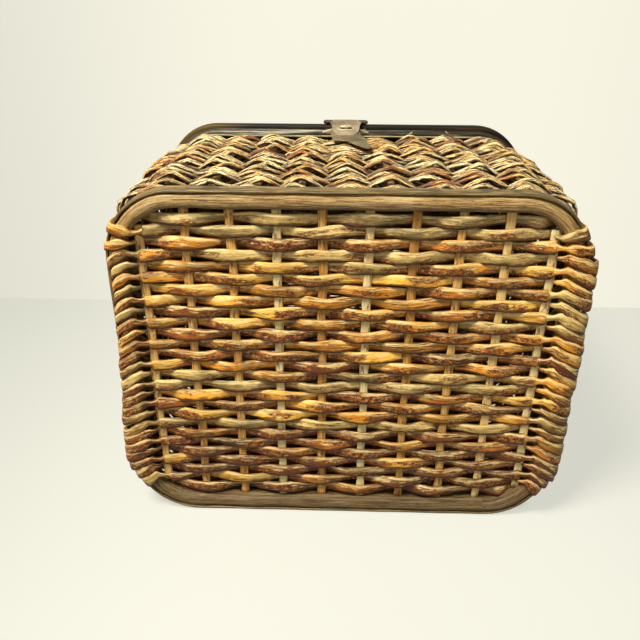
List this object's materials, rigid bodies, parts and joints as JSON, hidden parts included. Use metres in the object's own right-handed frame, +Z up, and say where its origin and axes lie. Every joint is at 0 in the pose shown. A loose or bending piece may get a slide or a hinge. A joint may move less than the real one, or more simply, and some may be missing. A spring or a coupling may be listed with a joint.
{
  "type": "lidded storage basket",
  "caption": "Rectangular wicker storage basket with rounded corners, a hooped woven bottom, metal rails round the mouth and lid, rear hinges and a strap clasp with a turn button.",
  "frame": {"origin": "on the surface that the basket stands on as pictured, in the middle of the flat lower face of the bottom's outer rim band, halfway between left and right", "axes": "+X to the right in the picture, +Y from the woven bottom towards the lid, +Z up as pictured, from the hinge side to the clasp side. Turned so that -Y points down, the basket stands on its bottom with the lid on top."},
  "size_m": [0.3992, 0.2716, 0.3253],
  "materials": {
    "hoop_pole": "weathered, lengthwise grain",
    "rim_band": "weathered, lengthwise grain",
    "stake": "dull straw",
    "panel_rods": "varnished, mottled amber to dark brown",
    "wall_rods": "satin straw with brown streaks",
    "body_rail": "worn grey",
    "lid_rail": "glossy dark bronze",
    "clasp_sheet": "dull, tarnished",
    "fittings": "dull, dark"
  },
  "bodies": {
    "basket": {"base_hoop": "hoop_pole", "base_rim": "rim_band", "base_stake_01": "stake", "base_stake_02": "stake", "base_stake_03": "stake", "base_stake_04": "stake", "base_stake_05": "stake", "base_stake_06": "stake", "base_stake_07": "stake", "base_stake_08": "stake", "base_stake_09": "stake", "base_stake_10": "stake", "base_weave": "panel_rods", "body_frame": "body_rail", "hinge_left_body_leaf": "fittings", "hinge_left_body_rivet_1": "fittings", "hinge_left_body_rivet_2": "fittings", "hinge_left_pin": "fittings", "hinge_right_body_leaf": "fittings", "hinge_right_body_rivet_1": "fittings", "hinge_right_body_rivet_2": "fittings", "hinge_right_pin": "fittings", "keeper_plate": "clasp_sheet", "keeper_rivet_1": "clasp_sheet", "keeper_rivet_2": "clasp_sheet", "wall_stakes": "stake", "wall_weave": "wall_rods"},
    "lid": {"clasp_leaf": "fittings", "clasp_pin": "fittings", "clasp_rivet_1": "fittings", "clasp_rivet_2": "fittings", "hinge_left_lid_leaf": "fittings", "hinge_left_lid_rivet_1": "fittings", "hinge_left_lid_rivet_2": "fittings", "hinge_right_lid_leaf": "fittings", "hinge_right_lid_rivet_1": "fittings", "hinge_right_lid_rivet_2": "fittings", "lid_frame": "lid_rail", "lid_stake_01": "stake", "lid_stake_02": "stake", "lid_stake_03": "stake", "lid_stake_04": "stake", "lid_stake_05": "stake", "lid_stake_06": "stake", "lid_stake_07": "stake", "lid_stake_08": "stake", "lid_stake_09": "stake", "lid_stake_10": "stake", "lid_weave": "wall_rods"},
    "strap": {"clasp_strap": "clasp_sheet"},
    "button": {"turn_button": "clasp_sheet"}
  },
  "joints": [
    {"name": "lid_hinge", "type": "hinge", "parent": "basket", "child": "lid", "pos_m": [0, 0.2453, 0.002], "axis": [-1, 0, 0], "range_deg": [0, 165]},
    {"name": "strap_swing", "type": "hinge", "parent": "lid", "child": "strap", "pos_m": [0, 0.2511, 0.3226], "axis": [-1, 0, 0], "range_deg": [0, 140]},
    {"name": "button_turn", "type": "hinge", "parent": "basket", "child": "button", "pos_m": [0, 0.22201, 0.31907], "axis": [0, -0.1205, 0.9927], "range_deg": [0, 90]}
  ]
}
